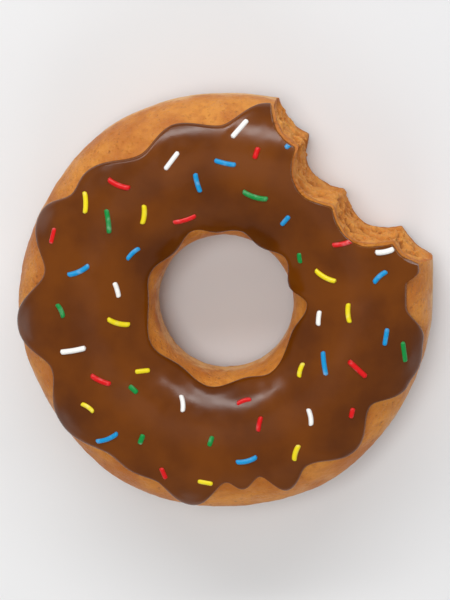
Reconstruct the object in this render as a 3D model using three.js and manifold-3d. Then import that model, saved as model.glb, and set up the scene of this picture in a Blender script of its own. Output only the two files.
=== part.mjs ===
// A ring doughnut with one bite taken out of it, iced with chocolate over its upper half.
//
// Two solids: the fried dough, a ring with a flat base, and the icing, a skin that lies over the ring's
// crown and runs down its outside and into its hole in drips. One bite cuts through both.
//
// Millimetres, +Z up. The origin is on the surface that the doughnut rests on, on the axis of its hole.
// A bearing is an angle round that axis from +X. A lift is an angle round the ring's section: 0 at the
// girth, which is the widest line outside, 90 at the crown, 180 at the hole and 270 at the base.

import * as THREE from "three";
import { mergeVertices } from "three/addons/utils/BufferGeometryUtils.js";
import Module from "manifold-3d";

const wasm = await Module();
wasm.setup();

// The ring
const GIRTH_RADIUS = 46;
const HOLE_RADIUS = 15;
const DOUGH_HEIGHT = 28;
const GIRTH_HEIGHT = 13; // of the widest line above the table
const BASE_DROP = 14.3; // from the girth to where the section would end if its base were not flat
const SQUARENESS = 2.3; // exponent of the section's superellipse; 2 is an ellipse
const RING_STEPS = 72;
const SECTION_STEPS = 28;

// The icing
const SKIN_GAP = 0.3; // between dough and icing
const CROWN_THICKNESS = 1.6;
const DRIP_THICKNESS = 0.9; // at the girth
const RIM_ROUNDING = 1.5; // width of the rounded edge
const ICING_STEPS = 120;
const OVER_STEPS = 12; // across the top of the skin
const ROOT_STEPS = 4; // across the part of its section that is cut away with the dough
const ROOT_DEPTH = 2;

// The icing's edge is a wave through its lowest and highest points, each [bearing, degrees above the girth].
const OUTER_EDGE = [
  [1, 57], [14, 51], [28, 66], [46, 48], [52, 51], [64, 25], [79, 58], [96, 23], [110, 56], [127, 30],
  [144, 52], [151, 50], [159, 52], [171, 29], [182, 62], [187, 54], [193, 64], [200, 42], [209, 59],
  [223, 41], [237, 59], [247, 31], [254, 24], [261, 30], [271, 54], [278, 54], [281, 40], [346, 27],
];
const INNER_EDGE = [
  [3, 31], [20, 41], [43, 26], [65, 37], [90, 30], [119, 39], [144, 30], [172, 40], [197, 32], [218, 41],
  [250, 31], [273, 45], [287, 22], [308, 39], [328, 22], [347, 36],
];

// The bite: the tips between the tooth marks at the icing's level, [x, y], and how deep each mark curves in
const BITE_TIPS = [[46.5, -10.4], [35.1, -16.4], [22.7, -24.4], [14.6, -37.1], [8.4, -46.4]];
const MARK_DEPTHS = [2.1, 4.4, 4.1, 1.6];
const BITE_BEARING = -46; // the way the bite faces, in degrees
const BITE_CLEARANCE = 14; // how far the cutter runs on past the ring
const WALL_LEAN = 2.2; // how much further out the bitten wall stands at the table than at the top
const WALL_BELLY = 0.9; // how far it swells at half height
const WALL_STEPS = 6;
const ARC_STEPS = 10;

const MID_RADIUS = (GIRTH_RADIUS + HOLE_RADIUS) / 2;
const HALF_WIDTH = (GIRTH_RADIUS - HOLE_RADIUS) / 2;
const CROWN_RISE = DOUGH_HEIGHT - GIRTH_HEIGHT;
const radians = THREE.MathUtils.degToRad;

// How far the ring's outside stands out past its nominal size at a bearing. The bite squeezed its end out.
function swell(bearing) {
  const slow = 0.25 * Math.cos(bearing - 0.2) + 0.3 * Math.cos(2 * bearing + 0.2);
  const squeezed = 1.3 * Math.exp(-(((bearing - 4.99) / 0.15) ** 2));
  return slow + 0.3 * Math.cos(6 * bearing + 2.9) + squeezed;
}

// The point of the ring's section at a lift, stood off the surface by a distance: x is radius, y is height
function sectionPoint(bearing, lift, standOff) {
  const bulge = (value) => Math.sign(value) * Math.abs(value) ** (2 / SQUARENESS);
  const width = Math.cos(lift) > 0 ? HALF_WIDTH + swell(bearing) : HALF_WIDTH;
  const rise = Math.sin(lift) > 0 ? CROWN_RISE : BASE_DROP;
  const across = bulge(Math.cos(lift));
  const up = bulge(Math.sin(lift));
  const slope = (value) => Math.sign(value) * Math.abs(value) ** (SQUARENESS - 1);
  const normal = new THREE.Vector2(slope(across) / width, slope(up) / rise).normalize();
  const surface = new THREE.Vector2(MID_RADIUS + width * across, GIRTH_HEIGHT + rise * up);
  return surface.addScaledVector(normal, standOff);
}

// The loop of the dough's section, cut flat where it meets the table, or of a ring larger by a margin
function doughSection(bearing, margin = 0) {
  return Array.from({ length: SECTION_STEPS }, (_, i) => {
    const point = sectionPoint(bearing, (2 * Math.PI * i) / SECTION_STEPS, margin);
    return new THREE.Vector2(point.x, Math.max(0, point.y));
  });
}

// A wave through a closed list of [bearing, value] turning points, in degrees
function waveAt(turns, bearing) {
  const after = turns.findIndex(([b]) => b > bearing);
  const [b1, v1] = turns[after < 0 ? 0 : after];
  const [b0, v0] = turns.at((after < 0 ? turns.length : after) - 1);
  const gap = (b1 - b0 + 360) % 360;
  const share = ((bearing - b0 + 360) % 360) / gap;
  return v0 + ((v1 - v0) * (1 - Math.cos(Math.PI * share))) / 2;
}

// The loop of the icing's section: over the top from the outer edge to the inner one, and back through the
// dough, which is cut out of it afterwards
function icingSection(bearing) {
  const degrees = THREE.MathUtils.radToDeg(bearing);
  const outer = radians(waveAt(OUTER_EDGE, degrees));
  const inner = Math.PI - radians(waveAt(INNER_EDGE, degrees));
  const length = (inner - outer) * HALF_WIDTH;
  const over = Array.from({ length: OVER_STEPS - 1 }, (_, i) => {
    const share = (1 - Math.cos((Math.PI * (i + 1)) / OVER_STEPS)) / 2;
    const lift = outer + (inner - outer) * share;
    const inset = Math.min(1, (Math.min(share, 1 - share) * length) / RIM_ROUNDING);
    const body = THREE.MathUtils.lerp(DRIP_THICKNESS, CROWN_THICKNESS, Math.max(0, Math.sin(lift)));
    return sectionPoint(bearing, lift, SKIN_GAP + body * Math.sqrt(1 - (1 - inset) ** 2));
  });
  const under = Array.from({ length: ROOT_STEPS + 1 }, (_, i) =>
    sectionPoint(bearing, inner + ((outer - inner) * i) / ROOT_STEPS, -ROOT_DEPTH),
  );
  return [...over, ...under];
}

// Sweeps a closed section once round the hole. Every bearing's loop has the same number of points.
function sweepRound(sectionAt, steps) {
  const first = sectionAt(0);
  const lathe = new THREE.LatheGeometry([...first, first[0]], steps);
  const position = lathe.getAttribute("position");
  for (let step = 0; step <= steps; step++) {
    const bearing = (2 * Math.PI * (step % steps)) / steps;
    const loop = sectionAt(bearing);
    for (let i = 0; i <= loop.length; i++) {
      const { x: radius, y: height } = loop[i % loop.length];
      const vertex = step * (loop.length + 1) + i;
      position.setXYZ(vertex, radius * Math.cos(bearing), radius * Math.sin(bearing), height);
    }
  }
  return lathe;
}

// What the teeth took: tooth marks side by side, extruded upwards, with the wall leaning out below
function biteGeometry() {
  const outward = new THREE.Vector2(Math.cos(radians(BITE_BEARING)), Math.sin(radians(BITE_BEARING)));
  const tips = BITE_TIPS.map(([x, y]) => new THREE.Vector2(x, y));
  const beyond = (tip) => tip.clone().setLength(tip.length() + BITE_CLEARANCE);
  const start = beyond(tips[0]);
  const end = beyond(tips.at(-1));
  const far = start.clone().add(end).multiplyScalar(0.5).addScaledVector(outward, BITE_CLEARANCE);
  const outline = new THREE.Shape().moveTo(start.x, start.y).lineTo(tips[0].x, tips[0].y);
  MARK_DEPTHS.forEach((depth, i) => {
    const [from, to] = [tips[i], tips[i + 1]];
    const chord = to.clone().sub(from).normalize();
    const control = from.clone().add(to).multiplyScalar(0.5);
    control.add(new THREE.Vector2(chord.y, -chord.x).multiplyScalar(2 * depth));
    outline.quadraticCurveTo(control.x, control.y, to.x, to.y);
  });
  outline.lineTo(end.x, end.y).lineTo(far.x, far.y).closePath();

  const top = DOUGH_HEIGHT + SKIN_GAP + CROWN_THICKNESS;
  const margin = 2;
  const block = new THREE.ExtrudeGeometry(outline, {
    depth: top + 2 * margin,
    steps: WALL_STEPS,
    curveSegments: ARC_STEPS,
    bevelEnabled: false,
  });
  block.translate(0, 0, -margin);
  const position = block.getAttribute("position");
  for (let i = 0; i < position.count; i++) {
    const share = position.getZ(i) / top;
    const shift = WALL_LEAN * (1 - share) + WALL_BELLY * Math.sin(Math.PI * share);
    position.setX(i, position.getX(i) + outward.x * shift);
    position.setY(i, position.getY(i) + outward.y * shift);
  }
  return block;
}

function toSolid(geometry) {
  geometry.deleteAttribute("normal");
  geometry.deleteAttribute("uv");
  const merged = mergeVertices(geometry);
  const vertProperties = merged.getAttribute("position").array;
  return new wasm.Manifold(
    new wasm.Mesh({ numProp: 3, vertProperties, triVerts: new Uint32Array(merged.index.array) }),
  );
}

function toMesh(solid, name, colour, roughness) {
  const { vertProperties, triVerts } = solid.getMesh();
  const geometry = new THREE.BufferGeometry();
  geometry.setAttribute("position", new THREE.BufferAttribute(vertProperties, 3));
  geometry.setIndex(new THREE.BufferAttribute(triVerts, 1));
  geometry.computeVertexNormals();
  const material = new THREE.MeshStandardMaterial({ color: colour, roughness, metalness: 0 });
  const mesh = new THREE.Mesh(geometry, material);
  mesh.name = name;
  return mesh;
}

const bite = toSolid(biteGeometry());
const ring = toSolid(sweepRound((bearing) => doughSection(bearing), RING_STEPS));
const ringWithGap = toSolid(sweepRound((bearing) => doughSection(bearing, SKIN_GAP), RING_STEPS));
const blanket = toSolid(sweepRound(icingSection, ICING_STEPS));
const dough = ring.subtract(bite);
const icing = blanket.subtract(ringWithGap).subtract(bite);

const doughnut = new THREE.Group();
doughnut.add(toMesh(dough, "dough", "#c08547", 0.6), toMesh(icing, "icing", "#5c3010", 0.3));

export default doughnut;
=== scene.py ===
"""A ring doughnut with chocolate icing and sugar sprinkles, and one bite taken out of it."""

import math
import random

import bpy
from mathutils import Matrix, Vector, noise
from mathutils.bvhtree import BVHTree


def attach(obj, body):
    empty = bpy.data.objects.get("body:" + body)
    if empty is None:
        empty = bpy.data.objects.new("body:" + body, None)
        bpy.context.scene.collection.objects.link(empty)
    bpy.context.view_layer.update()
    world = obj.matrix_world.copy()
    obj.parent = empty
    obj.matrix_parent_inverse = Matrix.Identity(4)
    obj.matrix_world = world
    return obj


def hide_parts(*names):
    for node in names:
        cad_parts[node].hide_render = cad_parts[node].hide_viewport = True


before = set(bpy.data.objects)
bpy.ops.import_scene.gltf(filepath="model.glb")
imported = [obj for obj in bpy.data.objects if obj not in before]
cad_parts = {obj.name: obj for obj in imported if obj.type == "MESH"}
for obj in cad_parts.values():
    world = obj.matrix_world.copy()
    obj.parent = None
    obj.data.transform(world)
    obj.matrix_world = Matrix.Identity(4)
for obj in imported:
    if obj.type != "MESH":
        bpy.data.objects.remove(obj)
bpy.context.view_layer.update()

# ------------------------------------------------------------------------------------------------------
# The fried ring
#
# Soft dough, cut as a ring, proved, and fried on one side and then on the other. It swells to a squarish
# round section, rests on a flat base, and stays pale at its widest, where it floated out of the oil.

MM = 0.001
GIRTH_RADIUS = 46 * MM
HOLE_RADIUS = 15 * MM
DOUGH_HEIGHT = 28 * MM
GIRTH_HEIGHT = 13 * MM
BASE_DROP = 14.3 * MM  # from the girth to where the section would end if its base were not flat
SQUARENESS = 2.3  # exponent of the section's superellipse; 2 is an ellipse
MID_RADIUS = (GIRTH_RADIUS + HOLE_RADIUS) / 2
HALF_WIDTH = (GIRTH_RADIUS - HOLE_RADIUS) / 2
CROWN_RISE = DOUGH_HEIGHT - GIRTH_HEIGHT


def swell(bearing):
    """How far the ring's outside stands out past its nominal size at a bearing round its hole.

    Its waves are uneven proving, and its narrow peak is the end that the bite squeezed out.
    """
    slow = 0.25 * math.cos(bearing - 0.2) + 0.3 * math.cos(2 * bearing + 0.2)
    squeezed = 1.3 * math.exp(-(((bearing % math.tau - 4.99) / 0.15) ** 2))
    return (slow + 0.3 * math.cos(6 * bearing + 2.9) + squeezed) * MM


def ring_point(bearing, lift, stand_off=0.0):
    """The ring's surface at a bearing and at a lift round its section, stood off by a distance.

    The lift is 0 at the girth, a right angle at the crown and half a turn in the hole.
    """
    width = HALF_WIDTH + swell(bearing) if math.cos(lift) > 0 else HALF_WIDTH
    rise = CROWN_RISE if math.sin(lift) > 0 else BASE_DROP
    across, up = (
        math.copysign(abs(share) ** (2 / SQUARENESS), share) for share in (math.cos(lift), math.sin(lift))
    )
    normal = Vector(
        (
            math.copysign(abs(across) ** (SQUARENESS - 1), across) / width,
            math.copysign(abs(up) ** (SQUARENESS - 1), up) / rise,
        )
    ).normalized()
    radius = MID_RADIUS + width * across + stand_off * normal.x
    height = GIRTH_HEIGHT + rise * up + stand_off * normal.y
    return Vector((radius * math.cos(bearing), radius * math.sin(bearing), height))


def bearing_of(point):
    return math.atan2(point.y, point.x)


def depth_in_ring(point):
    """How far a point lies below the ring's skin."""
    across = point.xy.length - MID_RADIUS
    across /= HALF_WIDTH + swell(bearing_of(point)) if across > 0 else HALF_WIDTH
    rise = CROWN_RISE if point.z > GIRTH_HEIGHT else BASE_DROP
    up = (point.z - GIRTH_HEIGHT) / rise
    reach = (abs(across) ** SQUARENESS + abs(up) ** SQUARENESS) ** (1 / SQUARENESS)
    return min((1 - reach) * HALF_WIDTH, point.z)


def apply_modifier(piece, kind, **settings):
    """Puts a modifier on a piece and applies it."""
    modifier = piece.modifiers.new(kind.lower(), kind)
    for name, value in settings.items():
        setattr(modifier, name, value)
    bpy.ops.object.select_all(action="DESELECT")
    piece.select_set(True)
    bpy.context.view_layer.objects.active = piece
    bpy.ops.object.modifier_apply(modifier=modifier.name)


def lumps(name, size):
    """A texture of soft lumps of a size, for a Displace modifier."""
    texture = bpy.data.textures.new(name, "CLOUDS")
    texture.noise_scale = size
    return texture


RING_STEPS = 520
SECTION_STEPS = 132
SHOULDER_SWELL = 0.2 * MM  # above and below the shallow waist at the girth and in the hole
WAIST_DEPTH = 0.35 * MM
WAIST_SPREAD = 0.25  # radians of lift
BASE_SOFTNESS = 0.4 * MM  # of the turn from the side into the flat base
SWELLING_SIZE = 11 * MM  # of the soft unevenness that proving leaves
SWELLING_RISE = 0.6 * MM
SKIN_LUMP_SIZE = 1.7 * MM  # of the fine lumps that frying leaves
SKIN_LUMP_RISE = 0.32 * MM

bpy.ops.object.select_all(action="DESELECT")
bpy.ops.mesh.primitive_torus_add(
    major_segments=RING_STEPS,
    minor_segments=SECTION_STEPS,
    major_radius=MID_RADIUS,
    minor_radius=HALF_WIDTH,
)
dough = bpy.context.object
dough.name = "fried_dough"
for vertex in dough.data.vertices:
    lift = math.atan2(vertex.co.z, vertex.co.xy.length - MID_RADIUS)
    waist = math.exp(-((math.sin(lift) / WAIST_SPREAD) ** 2))
    place = ring_point(bearing_of(vertex.co), lift, SHOULDER_SWELL - WAIST_DEPTH * waist)
    place.z = (place.z + math.hypot(place.z, BASE_SOFTNESS)) / 2
    vertex.co = place
swelling = lumps("dough swelling", SWELLING_SIZE)
apply_modifier(dough, "DISPLACE", texture=swelling, strength=SWELLING_RISE)
apply_modifier(dough, "DISPLACE", texture=lumps("dough skin", SKIN_LUMP_SIZE), strength=SKIN_LUMP_RISE)
base = min(vertex.co.z for vertex in dough.data.vertices)
for vertex in dough.data.vertices:
    vertex.co.z -= base * max(0, 1 - vertex.co.z / GIRTH_HEIGHT)

# ------------------------------------------------------------------------------------------------------
# The bite
#
# Four teeth went in side by side. They cut clean through the icing and the crust, and the crumb between
# tore, so its wall is lumpy and opens into the bubbles that the dough rose with.

# The tips between the tooth marks at the icing's level, as (x, y), and how deep each mark curves in, in mm
BITE_TIPS = [(46.5, -10.4), (35.1, -16.4), (22.7, -24.4), (14.6, -37.1), (8.4, -46.4)]
MARK_DEPTHS = [2.1, 4.4, 4.1, 1.6]
TIP_ROUNDINGS = 6  # of the outline, each a little softer
BITE_BEARING = math.radians(-46)
OUTWARD = Vector((math.cos(BITE_BEARING), math.sin(BITE_BEARING), 0))
BITE_RUN_ON = 14 * MM  # of the outline past the ring at both ends
WALL_TOP = 32 * MM
WALL_BOTTOM = -2 * MM
WALL_LEAN = 2.2 * MM  # how much further out the wall stands at the base than at the top
WALL_BELLY = 0.9 * MM
FIRST_LEAN = 0.5  # share of the lean at the first tip; it grows to the whole over the first marks
TOP_OF_ALL = DOUGH_HEIGHT + 1.9 * MM
SLIVER = 0.01 * MM  # narrower faces along a cut are closed up
CLOSING_ROUNDS = 3

BUBBLES = [(4, 3), (1.9, 11), (0.95, 23)]  # the mm between bubbles of one size, and their seed
BUBBLE_SIDE = 0.42  # share of a bubble's size that its rounded side takes up
BUBBLE_LEAST = 0.06  # depth of the shallowest, as a share of its size
BUBBLE_SPREAD = 0.46  # how much deeper than that the deepest is
BUBBLE_SEED_STEP = 7.3
BUBBLE_STRETCH = 0.8  # of a bubble's width to its height
CLEAN_CRUST = 0.5 * MM  # of skin, cut clean
TORN_IN = 1.8 * MM  # further in, the crumb is torn all through
TEAR_SEED = 5  # of the way the bubbles were pulled out of shape
noise.seed_set(TEAR_SEED)


def bite_outline(steps):
    """Points along the bite at the icing's level, with so many steps to each tooth mark."""
    tips = [Vector((x * MM, y * MM, 0)) for x, y in BITE_TIPS]
    first, last = (tip * (1 + BITE_RUN_ON / tip.length) for tip in (tips[0], tips[-1]))
    run = steps // 4
    points = [first.lerp(tips[0], i / run) for i in range(run)]
    for start, end, depth in zip(tips, tips[1:], MARK_DEPTHS):
        chord = (end - start).normalized()
        control = (start + end) / 2 + Vector((chord.y, -chord.x, 0)) * 2 * depth * MM
        for i in range(steps):
            share = i / steps
            points.append(start.lerp(control, share).lerp(control.lerp(end, share), share))
    points += [tips[-1].lerp(last, i / run) for i in range(run + 1)]
    for _ in range(TIP_ROUNDINGS):
        middles = [(a + c) / 4 + b / 2 for a, b, c in zip(points, points[1:], points[2:])]
        points[1:-1] = middles
    return points


def bubble_depth(point, spacing, seed):
    """How far bubbles with thin walls between them open behind a point of the torn wall."""
    (nearest, next_nearest, *_), (centre, *_) = noise.voronoi(point / spacing + Vector((seed, 0, 0)))
    inside = min(1, (next_nearest - nearest) / BUBBLE_SIDE)
    bowl = inside * inside * (3 - 2 * inside)
    chance_of_depth = abs(noise.cell(centre * BUBBLE_SEED_STEP))
    return bowl * spacing * (BUBBLE_LEAST + BUBBLE_SPREAD * chance_of_depth**3)


def torn_crumb(point):
    """How far the torn wall is sunk at a point, and how much of that is open bubble."""
    lump = 0.8 * MM * noise.noise(point / (5.5 * MM)) + 0.5 * MM * noise.noise(point / (2.4 * MM))
    grain = 0.14 * MM * noise.noise(point / (0.9 * MM)) + 0.1 * MM * noise.noise(point / (0.45 * MM))
    pulled = point + 1.1 * MM * noise.noise_vector(point / (3.2 * MM))
    pulled += 0.3 * MM * noise.noise_vector(point / (1.1 * MM))
    pulled.z *= BUBBLE_STRETCH
    bubbles = sum(bubble_depth(pulled, spacing * MM, seed) for spacing, seed in BUBBLES)
    below_skin = min(1, max(0, (depth_in_ring(point) - CLEAN_CRUST) / TORN_IN))
    return (lump + grain) * (0.35 + 0.65 * below_skin) + bubbles * below_skin, bubbles * below_skin


def clean_icing(point):
    """How far the bitten icing is sunk at a point. It has no bubbles."""
    return 0.12 * MM * noise.noise(point / (1.5 * MM)) + 0.2 * MM * noise.noise(point / (4 * MM)), 0.0


def make_bite(name, steps, rows, set_back, torn):
    """What the mouth took, as a solid: the bitten wall, pushed outwards past the ring."""
    outline = bite_outline(steps)
    columns = len(outline) - 1
    bpy.ops.object.select_all(action="DESELECT")
    bpy.ops.mesh.primitive_grid_add(x_subdivisions=columns, y_subdivisions=rows, size=1)
    bite = bpy.context.object
    bite.name = name
    # How deep a bubble opens at each point, which the crumb's colour uses to paint shade into the bubbles
    open_bubble = bite.data.attributes.new("bubble", "FLOAT", "POINT")
    for i, vertex in enumerate(bite.data.vertices):
        column = round((vertex.co.x + 0.5) * columns)
        before, after = outline[max(0, column - 1)], outline[min(columns, column + 1)]
        along = (after - before).normalized()
        inward = Vector((along.y, -along.x, 0))
        share = vertex.co.y + 0.5
        place = outline[column].copy()
        place.z = WALL_BOTTOM + (WALL_TOP - WALL_BOTTOM) * share
        height = place.z / TOP_OF_ALL
        lean = WALL_LEAN * (1 - height) + WALL_BELLY * math.sin(math.pi * height)
        place += OUTWARD * lean * min(1, FIRST_LEAN + 1.5 * column / columns)
        sunk, bubble = torn(place)
        vertex.co = place + inward * (sunk + set_back)
        open_bubble.data[i].value = bubble / MM
    bpy.ops.object.mode_set(mode="EDIT")
    bpy.ops.mesh.select_all(action="SELECT")
    bpy.ops.mesh.extrude_region_move(TRANSFORM_OT_translate={"value": OUTWARD * 2 * GIRTH_RADIUS})
    bpy.ops.mesh.select_all(action="SELECT")
    bpy.ops.mesh.normals_make_consistent(inside=False)
    bpy.ops.object.mode_set(mode="OBJECT")
    return bite


def bite_into(piece, bite, cut_face="TRANSFER"):
    """Cuts a bite out of a piece. The cut face takes the bite's material, or the piece's own with INDEX."""
    apply_modifier(
        piece, "BOOLEAN", object=bite, operation="DIFFERENCE", solver="MANIFOLD", material_mode=cut_face
    )
    bpy.ops.object.mode_set(mode="EDIT")
    bpy.ops.mesh.select_all(action="SELECT")
    bpy.ops.mesh.quads_convert_to_tris(quad_method="BEAUTY", ngon_method="BEAUTY")
    for _ in range(CLOSING_ROUNDS):
        bpy.ops.mesh.remove_doubles(threshold=SLIVER)
        bpy.ops.mesh.dissolve_degenerate(threshold=SLIVER)
        bpy.ops.mesh.quads_convert_to_tris(quad_method="BEAUTY", ngon_method="BEAUTY")
    bpy.ops.object.mode_set(mode="OBJECT")


dough_bite = make_bite("dough bite", steps=72, rows=160, set_back=0, torn=torn_crumb)

# ------------------------------------------------------------------------------------------------------
# Crust and crumb
#
# Frying oil browns the crust in uneven patches, deepest at the base, and leaves the girth pale. The crumb
# inside stays a warm tan and turns to crust in its last millimetre, with shade painted darker into its open
# bubbles. Both have a fine grain.


def colour(red, green, blue):
    """A colour for a shader from the 0 to 255 values that a screen shows it with."""
    shares = (value / 255 for value in (red, green, blue))
    return (*(s / 12.92 if s <= 0.04045 else ((s + 0.055) / 1.055) ** 2.4 for s in shares), 1)


def add_node(tree, kind, sockets=None, **settings):
    """Adds a node, sets its properties, and sets or links its input sockets by name or number."""
    made = tree.nodes.new(kind)
    for name, value in settings.items():
        setattr(made, name, value)
    for name, value in (sockets or {}).items():
        if isinstance(value, bpy.types.NodeSocket):
            tree.links.new(value, made.inputs[name])
        else:
            made.inputs[name].default_value = value
    return made


def new_group(name, inputs, outputs):
    """A shader node group with number inputs, given with their defaults, and number outputs."""
    group = bpy.data.node_groups.new(name, "ShaderNodeTree")
    for socket, value in inputs.items():
        made = group.interface.new_socket(socket, in_out="INPUT", socket_type="NodeSocketFloat")
        made.default_value = value
    for socket in outputs:
        group.interface.new_socket(socket, in_out="OUTPUT", socket_type="NodeSocketFloat")
    return group, group.nodes.new("NodeGroupInput"), group.nodes.new("NodeGroupOutput")


def make_mottle():
    """Soft uneven patches from 0 to 1, so many to the metre."""
    inputs = {"Scale": 100, "Seed": 0, "From": 0.4, "To": 0.6}
    group, given, result = new_group("mottle", inputs, ["Patches"])
    place = add_node(group, "ShaderNodeTexCoord")
    cloud = add_node(
        group,
        "ShaderNodeTexNoise",
        {
            "Vector": place.outputs["Object"],
            "W": given.outputs["Seed"],
            "Scale": given.outputs["Scale"],
            "Detail": 5,
        },
        noise_dimensions="4D",
    )
    spread = add_node(
        group,
        "ShaderNodeMapRange",
        {"Value": cloud.outputs["Fac"], "From Min": given.outputs["From"], "From Max": given.outputs["To"]},
        interpolation_type="SMOOTHSTEP",
    )
    group.links.new(spread.outputs["Result"], result.inputs["Patches"])
    return group


def make_grain():
    """The height of a fine grain with small pits between its lumps, so many to the metre."""
    group, given, result = new_group("grain", {"Scale": 1500, "Pits": 0.5}, ["Height"])
    place = add_node(group, "ShaderNodeTexCoord")
    lump = add_node(
        group,
        "ShaderNodeTexNoise",
        {"Vector": place.outputs["Object"], "Scale": given.outputs["Scale"], "Detail": 6, "Roughness": 0.6},
    )
    cell = add_node(
        group,
        "ShaderNodeTexVoronoi",
        {"Vector": place.outputs["Object"], "Scale": given.outputs["Scale"]},
    )
    pit = add_node(
        group,
        "ShaderNodeMapRange",
        {"Value": cell.outputs["Distance"], "From Min": 0.05, "From Max": 0.45},
        interpolation_type="SMOOTHSTEP",
    )
    total = add_node(
        group,
        "ShaderNodeMath",
        {0: pit.outputs["Result"], 1: given.outputs["Pits"], 2: lump.outputs["Fac"]},
        operation="MULTIPLY_ADD",
    )
    group.links.new(total.outputs[0], result.inputs["Height"])
    return group


MOTTLE = make_mottle()
GRAIN = make_grain()


def mottle(tree, **values):
    return add_node(tree, "ShaderNodeGroup", values, node_tree=MOTTLE).outputs["Patches"]


def grain_bump(tree, distance, strength, **values):
    """The normal that a fine grain gives a surface."""
    height = add_node(tree, "ShaderNodeGroup", values, node_tree=GRAIN).outputs["Height"]
    bump = add_node(tree, "ShaderNodeBump", {"Height": height, "Distance": distance, "Strength": strength})
    return bump.outputs["Normal"]


def blend(tree, share, low, high):
    """One colour turning into another where the share goes from 0 to 1."""
    mixed = add_node(tree, "ShaderNodeMix", {0: share, 6: low, 7: high}, data_type="RGBA")
    return mixed.outputs[2]


def span(tree, value, low, high, out_low=0.0, out_high=1.0):
    """A value turned smoothly into a share, from out_low at its low end to out_high at its high one."""
    mapped = add_node(
        tree,
        "ShaderNodeMapRange",
        {"Value": value, "From Min": low, "From Max": high, "To Min": out_low, "To Max": out_high},
        interpolation_type="SMOOTHSTEP",
    )
    return mapped.outputs["Result"]


def new_material(name):
    """A material with only a Principled shader in it: returns the material, its tree and the shader."""
    material = bpy.data.materials.new(name)
    material.use_nodes = True
    return material, material.node_tree, material.node_tree.nodes["Principled BSDF"]


CRUST_GOLD = colour(212, 138, 54)
CRUST_BROWN = colour(184, 106, 34)
CRUST_DEEP = colour(142, 78, 26)
CRUST_PALE = colour(222, 168, 96)
CRUMB_TAN = colour(206, 127, 44)
CRUMB_PALE = colour(221, 149, 64)
# Painted shade: the darker colour painted into the crumb's open bubbles
CRUMB_PAINTED_SHADE = colour(158, 86, 26)
BAND_HALF_HEIGHT = 3.4 * MM  # of the pale band at the girth

crust, tree, shader = new_material("fried crust")
place = add_node(tree, "ShaderNodeTexCoord").outputs["Object"]
height = add_node(tree, "ShaderNodeSeparateXYZ", {"Vector": place}).outputs["Z"]
ragged = mottle(tree, Scale=190, Seed=4, From=0.32, To=0.68)
from_girth = add_node(tree, "ShaderNodeMath", {0: height, 1: GIRTH_HEIGHT}, operation="SUBTRACT").outputs[0]
off_band = add_node(tree, "ShaderNodeMath", {0: from_girth}, operation="ABSOLUTE").outputs[0]
wander = add_node(tree, "ShaderNodeMath", {0: ragged, 1: 3.6 * MM, 2: off_band}, operation="MULTIPLY_ADD")
pale = span(tree, wander.outputs[0], 0.8 * BAND_HALF_HEIGHT, 2.1 * BAND_HALF_HEIGHT, 1.0, 0.0)
tone = blend(tree, mottle(tree, Scale=120, Seed=1, From=0.35, To=0.65), CRUST_GOLD, CRUST_BROWN)
tone = blend(tree, span(tree, height, 5 * MM, 0.5 * MM), tone, CRUST_DEEP)
tone = blend(tree, pale, tone, CRUST_PALE)
browned = mottle(tree, Scale=520, Seed=3, From=0.42, To=0.7)
tone = blend(tree, span(tree, browned, 0, 1, 0.0, 0.55), tone, CRUST_BROWN)
tone = blend(tree, mottle(tree, Scale=900, Seed=2, From=0.58, To=0.8), tone, CRUST_DEEP)
tree.links.new(tone, shader.inputs["Base Color"])
tree.links.new(span(tree, ragged, 0, 1, 0.42, 0.6), shader.inputs["Roughness"])
tree.links.new(grain_bump(tree, 0.45 * MM, 0.8, Scale=900, Pits=0.45), shader.inputs["Normal"])
shader.inputs["Subsurface Weight"].default_value = 0.08
shader.inputs["Subsurface Radius"].default_value = (1.0, 0.45, 0.2)
shader.inputs["Subsurface Scale"].default_value = 1.2 * MM
shader.inputs["Specular IOR Level"].default_value = 0.4

crumb, tree, shader = new_material("torn crumb")
depth = add_node(tree, "ShaderNodeAttribute", attribute_name="depth").outputs["Fac"]
bubble = add_node(tree, "ShaderNodeAttribute", attribute_name="bubble").outputs["Fac"]
tone = blend(tree, mottle(tree, Scale=260, Seed=7, From=0.35, To=0.65), CRUMB_TAN, CRUMB_PALE)
# Painted shade: the crumb is darkened where its bubbles open deep, standing in for the shade inside them
tone = blend(tree, span(tree, bubble, 0.2, 1.6, 0.0, 0.8), tone, CRUMB_PAINTED_SHADE)
tone = blend(tree, span(tree, depth, 1.3, 0.35), tone, CRUST_BROWN)
tree.links.new(tone, shader.inputs["Base Color"])
tree.links.new(grain_bump(tree, 0.3 * MM, 0.7, Scale=1700, Pits=0.8), shader.inputs["Normal"])
shader.inputs["Roughness"].default_value = 0.75
shader.inputs["Subsurface Weight"].default_value = 0.2
shader.inputs["Subsurface Radius"].default_value = (1.0, 0.55, 0.28)
shader.inputs["Subsurface Scale"].default_value = 1.5 * MM

dough.data.materials.append(crust)
dough_bite.data.materials.append(crumb)
bite_into(dough, dough_bite)
skin_depth = dough.data.attributes.new("depth", "FLOAT", "POINT")
for i, vertex in enumerate(dough.data.vertices):
    skin_depth.data[i].value = max(0, depth_in_ring(vertex.co)) / MM
bpy.ops.object.shade_smooth_by_angle(angle=math.radians(60))
bpy.data.objects.remove(dough_bite)
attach(dough, "root")
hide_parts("dough")

# ------------------------------------------------------------------------------------------------------
# The icing
#
# Warm chocolate icing was poured over the ring's crown. It ran down the outside and into the hole in
# drips, and set as a skin with fat round lips that grips the crust.

ICING_SUNK = 0.45 * MM  # of its underside, below the crust
ICING_THICKNESS = 2.1 * MM  # from that underside
LIP_WIDTH = 1.7 * MM
BEAD_WIDTH = 1.6 * MM  # of the thicker bead that runs along behind the lip
BEAD_SHARE = 0.13  # how much thicker
DRIP_SHARE = 0.62  # of the crown's thickness, at the girth
LEAST_SHARE = 0.08
ICING_STEPS = 720
ICING_ROWS = 44

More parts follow.
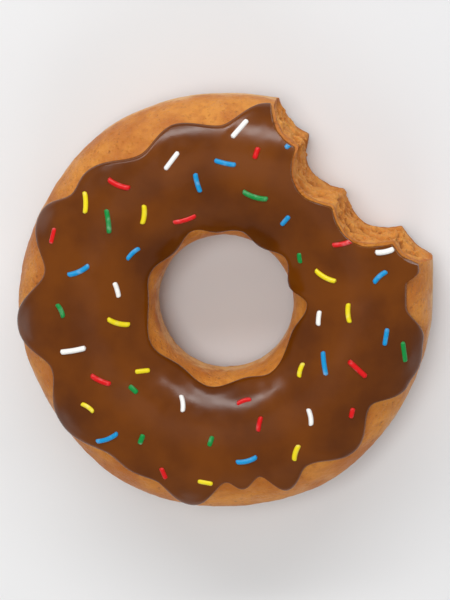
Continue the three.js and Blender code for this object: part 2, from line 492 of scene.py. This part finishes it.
# The icing's edge is a wave through its lowest and highest points, each (bearing, degrees above the girth).
OUTER_EDGE = [
    (1, 57), (14, 51), (28, 66), (46, 48), (52, 51), (64, 25), (79, 58), (96, 23), (110, 56), (127, 30),
    (144, 52), (151, 50), (159, 52), (171, 29), (182, 62), (187, 54), (193, 64), (200, 42), (209, 59),
    (223, 41), (237, 59), (247, 31), (254, 24), (261, 30), (271, 54), (278, 54), (281, 40), (346, 27),
]  # fmt: skip
INNER_EDGE = [
    (3, 31), (20, 41), (43, 26), (65, 37), (90, 30), (119, 39), (144, 30), (172, 40), (197, 32), (218, 41),
    (250, 31), (273, 45), (287, 22), (308, 39), (328, 22), (347, 36),
]  # fmt: skip


def wave_at(turns, bearing):
    """A wave through a closed list of turning points, all in degrees."""
    after = next((i for i, (b, _) in enumerate(turns) if b > bearing), 0)
    (b0, v0), (b1, v1) = turns[after - 1], turns[after]
    share = (bearing - b0) % 360 / ((b1 - b0) % 360)
    return v0 + (v1 - v0) * (1 - math.cos(math.pi * share)) / 2


bpy.ops.object.select_all(action="DESELECT")
bpy.ops.mesh.primitive_grid_add(x_subdivisions=ICING_STEPS, y_subdivisions=ICING_ROWS, size=1)
icing = bpy.context.object
icing.name = "chocolate_icing"
thickness = icing.vertex_groups.new(name="thickness")
for vertex in icing.data.vertices:
    degrees = 360 * (vertex.co.x + 0.5)
    outer = math.radians(wave_at(OUTER_EDGE, degrees % 360))
    inner = math.pi - math.radians(wave_at(INNER_EDGE, degrees % 360))
    share = (1 - math.cos(math.pi * (vertex.co.y + 0.5))) / 2
    lift = outer + (inner - outer) * share
    from_lip = min(share, 1 - share) * (inner - outer) * HALF_WIDTH
    lip = math.sqrt(max(0, 1 - (1 - min(1, from_lip / LIP_WIDTH)) ** 2))
    vertex.co = ring_point(math.radians(degrees), lift, -ICING_SUNK)
    bead = math.exp(-(((from_lip - LIP_WIDTH) / BEAD_WIDTH) ** 2))
    runny = DRIP_SHARE + (1 - DRIP_SHARE) * max(0, math.sin(lift)) + BEAD_SHARE * bead
    ripple = 1 + 0.1 * noise.noise(vertex.co / (9 * MM)) + 0.03 * noise.noise(vertex.co / (3 * MM))
    thickness.add([vertex.index], max(LEAST_SHARE, lip * runny * ripple), "REPLACE")
bpy.ops.object.mode_set(mode="EDIT")
bpy.ops.mesh.select_all(action="SELECT")
bpy.ops.mesh.remove_doubles(threshold=0.001 * MM)
bpy.ops.object.mode_set(mode="OBJECT")
apply_modifier(
    icing, "SOLIDIFY", thickness=ICING_THICKNESS, offset=1, vertex_group=thickness.name, use_rim=True
)

GLAZE_BROWN = colour(112, 56, 2)
GLAZE_DARK = colour(90, 42, 2)
chocolate, tree, shader = new_material("chocolate icing")
cloudy = mottle(tree, Scale=70, Seed=12, From=0.35, To=0.65)
tree.links.new(blend(tree, cloudy, GLAZE_BROWN, GLAZE_DARK), shader.inputs["Base Color"])
streaky = mottle(tree, Scale=400, Seed=13, From=0.3, To=0.7)
tree.links.new(span(tree, streaky, 0, 1, 0.19, 0.27), shader.inputs["Roughness"])
tree.links.new(grain_bump(tree, 0.15 * MM, 0.08, Scale=320, Pits=0.1), shader.inputs["Normal"])
shader.inputs["Specular IOR Level"].default_value = 0.35
icing.data.materials.append(chocolate)
icing_surface = BVHTree.FromPolygons(
    [v.co for v in icing.data.vertices], [p.vertices for p in icing.data.polygons]
)
icing_bite = make_bite("icing bite", steps=48, rows=34, set_back=0.45 * MM, torn=clean_icing)
icing_bite.data.materials.append(chocolate)
bite_into(icing, icing_bite)
bpy.ops.object.shade_smooth_by_angle(angle=math.radians(50))
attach(icing, "root")
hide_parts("icing")

# ------------------------------------------------------------------------------------------------------
# The sprinkles
#
# Strands of coloured sugar paste, extruded thin, dried and broken short. They were shaken over the icing
# while it was soft, so each lies a little sunk in it. The teeth cut those at the edge of the bite.

STRAND_RADIUS = 0.59 * MM
STRAND_SUNK = 0.12 * MM  # of a strand's middle below the icing's surface
END_ROUNDING = 0.4 * MM  # of its broken ends
STRAND_UNEVENNESS = 0.05 * MM

# Each strand is (bearing in degrees, radius in mm, turn from pointing outwards in degrees, length in mm,
# and how far its middle bows to the left in mm).
STRANDS = {
    "blue": [
        (10, 28, 5, 4.5, 0.1), (58, 22.5, 75, 4, -0.2), (75, 32, 40, 5.5, 0.3), (139, 38, 155, 6, -0.3),
        (190, 33.5, 95, 5, -0.3), (243, 25.5, 125, 5.5, 0.1), (261, 36.5, 90, 4, 0),
        (282, 35.5, 30, 4, 0.2), (324, 24, 175, 3, 0), (337, 39.5, 155, 4, 0), (358, 32, 80, 5, 0.1),
    ],
    "white": [
        (18, 34, 125, 5, 0), (80, 23, 115, 3.7, 0.1), (106, 33.5, 175, 6, -0.1),
        (158, 22.5, 30, 4, 0.2), (220, 30.5, 150, 4, -0.2), (265, 21.5, 90, 3.5, 0.1),
        (290, 38, 170, 4.5, 0.2), (354, 39.5, 145, 5.5, 0),
    ],
    "red": [
        (22, 21, 85, 5.5, 0.25), (39, 35, 30, 5.5, 0.3), (67, 40, 100, 3.7, 0),
        (121, 30.5, 125, 5, -0.2), (161, 38.5, 40, 3, 0), (194, 21, 95, 3.5, 0.2),
        (199, 26.5, 150, 3.5, 0.1), (232, 36.5, 115, 2.5, 0), (247, 32.5, 160, 5.5, 0),
        (299, 30.5, 165, 5, 0.2), (347, 35, 175, 2.8, 0),
    ],
    "yellow": [
        (39, 26.5, 135, 4.5, 0.2), (52, 37.5, 130, 5, 0.2), (98, 22.5, 155, 5.5, -0.3),
        (127, 36.5, 110, 3.5, 0.2), (129, 22, 145, 3.5, 0), (175, 38.5, 85, 3.5, 0),
        (208, 35.5, 135, 4, 0.2), (233, 22, 110, 3.5, 0.2), (269, 28, 95, 4.5, 0.2),
        (288, 24, 135, 5.5, 0.3),
    ],
    "green": [
        (52, 31, 135, 5.5, 0.1), (91, 35, 115, 3.5, 0.2), (133, 26, 95, 2.5, 0),
        (149, 33.5, 10, 2.5, 0), (176, 29, 165, 2.5, 0), (257, 41, 110, 5, 0),
        (303, 20.5, 65, 2.5, 0.1), (343, 26, 90, 6, 0.35),
    ],
}  # fmt: skip
STRAND_COLOURS = {
    "blue": colour(14, 146, 206),
    "white": colour(244, 243, 238),
    "red": colour(216, 12, 16),
    "yellow": colour(236, 216, 22),
    "green": colour(4, 140, 60),
}
chance = random.Random(7)


def on_icing(point):
    """The icing's surface above or below a point, and which way it faces there."""
    above = Vector((point.x, point.y, 2 * DOUGH_HEIGHT))
    place, facing, _, _ = icing_surface.ray_cast(above, Vector((0, 0, -1)))
    if place is None:
        place, facing, _, _ = icing_surface.find_nearest(Vector((point.x, point.y, DOUGH_HEIGHT)))
    return place, facing


def add_strand(bearing, radius, turn, length, bow):
    """One sugar strand, pressed into the icing."""
    outwards = Matrix.Rotation(math.radians(bearing), 3, "Z") @ Vector((1, 0, 0))
    middle = outwards * radius * MM
    along = Matrix.Rotation(math.radians(turn), 3, "Z") @ outwards
    half = length * MM / 2
    ends = [on_icing(middle + along * side * half)[0] for side in (-1, 1)]
    axis = (ends[1] - ends[0]).normalized()
    place, facing = on_icing(middle)
    side = facing.cross(axis).normalized()
    up = axis.cross(side)
    bpy.ops.object.select_all(action="DESELECT")
    bpy.ops.mesh.primitive_uv_sphere_add(segments=14, ring_count=20, radius=1)
    strand = bpy.context.object
    plump = STRAND_RADIUS * chance.uniform(0.92, 1.06)
    for vertex in strand.data.vertices:
        share = 2 * math.asin(max(-1, min(1, vertex.co.z))) / math.pi
        width = plump * math.sqrt(max(0, 1 - abs(share) ** (2 * half / END_ROUNDING)))
        around = vertex.co.xy.normalized() * width if width else Vector((0, 0))
        bend = bow * MM * (1 - 1.5 * share**2)
        spot = place + axis * half * share + side * (around.x + bend) + up * (around.y - STRAND_SUNK)
        vertex.co = spot + up * STRAND_UNEVENNESS * noise.noise(spot / (0.8 * MM))
    return strand


for name, strands in STRANDS.items():
    made = [add_strand(*strand) for strand in strands]
    bpy.ops.object.select_all(action="DESELECT")
    for strand in made:
        strand.select_set(True)
    bpy.context.view_layer.objects.active = made[0]
    bpy.ops.object.join()
    sprinkles = bpy.context.object
    sprinkles.name = f"sprinkles_{name}"
    bpy.ops.object.mode_set(mode="EDIT")
    bpy.ops.mesh.select_all(action="SELECT")
    # Joining leaves the faces in no fixed order
    bpy.ops.mesh.sort_elements(type="CURSOR_DISTANCE", elements={"VERT", "EDGE", "FACE"})
    bpy.ops.object.mode_set(mode="OBJECT")
    sugar, tree, shader = new_material(f"{name} sugar")
    worn = blend(tree, 0.22, STRAND_COLOURS[name], (1, 1, 1, 1))
    tone = blend(tree, mottle(tree, Scale=600, Seed=20, From=0.5, To=0.8), STRAND_COLOURS[name], worn)
    tree.links.new(tone, shader.inputs["Base Color"])
    tree.links.new(grain_bump(tree, 0.05 * MM, 0.25, Scale=2600, Pits=0.3), shader.inputs["Normal"])
    shader.inputs["Roughness"].default_value = 0.32
    shader.inputs["Subsurface Weight"].default_value = 0.1
    shader.inputs["Subsurface Radius"].default_value = (0.5, 0.5, 0.5)
    shader.inputs["Subsurface Scale"].default_value = 0.5 * MM
    sprinkles.data.materials.append(sugar)
    bite_into(sprinkles, icing_bite, cut_face="INDEX")
    bpy.ops.object.shade_smooth_by_angle(angle=math.radians(50))
    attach(sprinkles, "root")
bpy.data.objects.remove(icing_bite)

# ------------------------------------------------------------------------------------------------------
# Floor, light and camera
#
# A pale table under a soft ceiling light, with a long window light on the +X side and a bounce from -X.

bpy.ops.object.select_all(action="DESELECT")
bpy.ops.mesh.primitive_plane_add(size=3)
table = bpy.context.object
table.name = "pale_table"
paint, tree, shader = new_material("pale table")
uneven = mottle(tree, Scale=6, Seed=30, From=0.3, To=0.7)
tone = blend(tree, uneven, colour(228, 228, 228), colour(223, 223, 224))
tree.links.new(tone, shader.inputs["Base Color"])
shader.inputs["Roughness"].default_value = 0.7
table.data.materials.append(paint)


def add_softbox(name, direction, distance, width, depth, power):
    """An area light in a direction from the doughnut, facing it."""
    light = bpy.data.lights.new(name, "AREA")
    light.shape = "RECTANGLE"
    light.size = width
    light.size_y = depth
    light.energy = power
    lamp = bpy.data.objects.new(name, light)
    lamp.location = Vector(direction).normalized() * distance
    lamp.rotation_euler = Vector(direction).to_track_quat("Z", "Y").to_euler()
    bpy.context.collection.objects.link(lamp)
    return lamp


add_softbox("window", (1.0, 0.1, 0.9), 0.9, 1.1, 0.16, 5.0)
bounce = add_softbox("bounce", (-1.0, -0.1, 0.7), 1.0, 0.5, 0.5, 2.0)
bounce.visible_glossy = False
overhead = add_softbox("ceiling", (0.08, 0.06, 1.0), 1.2, 0.45, 0.45, 6.0)
overhead.visible_glossy = False

world = bpy.data.worlds.new("pale room")
world.use_nodes = True
world.node_tree.nodes["Background"].inputs["Color"].default_value = (0.97, 0.98, 1.0, 1)
world.node_tree.nodes["Background"].inputs["Strength"].default_value = 0.3
bpy.context.scene.world = world
bpy.context.scene.view_settings.view_transform = "Standard"

LENS = 200  # mm
SENSOR = 36  # mm
VIEW_ELEVATION = math.radians(82)
VIEW_AZIMUTH = math.radians(56)
FRAME_HEIGHT = 133.3 * MM  # at the girth, across the view's longer side

aim = Vector((0.2 * MM, 0.2 * MM, GIRTH_HEIGHT))
back = Vector(
    (
        math.sin(VIEW_AZIMUTH) * math.cos(VIEW_ELEVATION),
        -math.cos(VIEW_AZIMUTH) * math.cos(VIEW_ELEVATION),
        math.sin(VIEW_ELEVATION),
    )
)
view_up = (Vector((1, 0, 0)) - back * back.x).normalized()
camera = bpy.data.objects.new("camera", bpy.data.cameras.new("camera"))
camera.data.lens = LENS
camera.data.sensor_width = SENSOR
camera.data.clip_end = 10
turn = Matrix((view_up.cross(back), view_up, back)).transposed().to_4x4()
camera.matrix_world = Matrix.Translation(aim + back * FRAME_HEIGHT * LENS / SENSOR) @ turn
bpy.context.collection.objects.link(camera)
bpy.context.scene.camera = camera

bpy.context.view_layer.update()
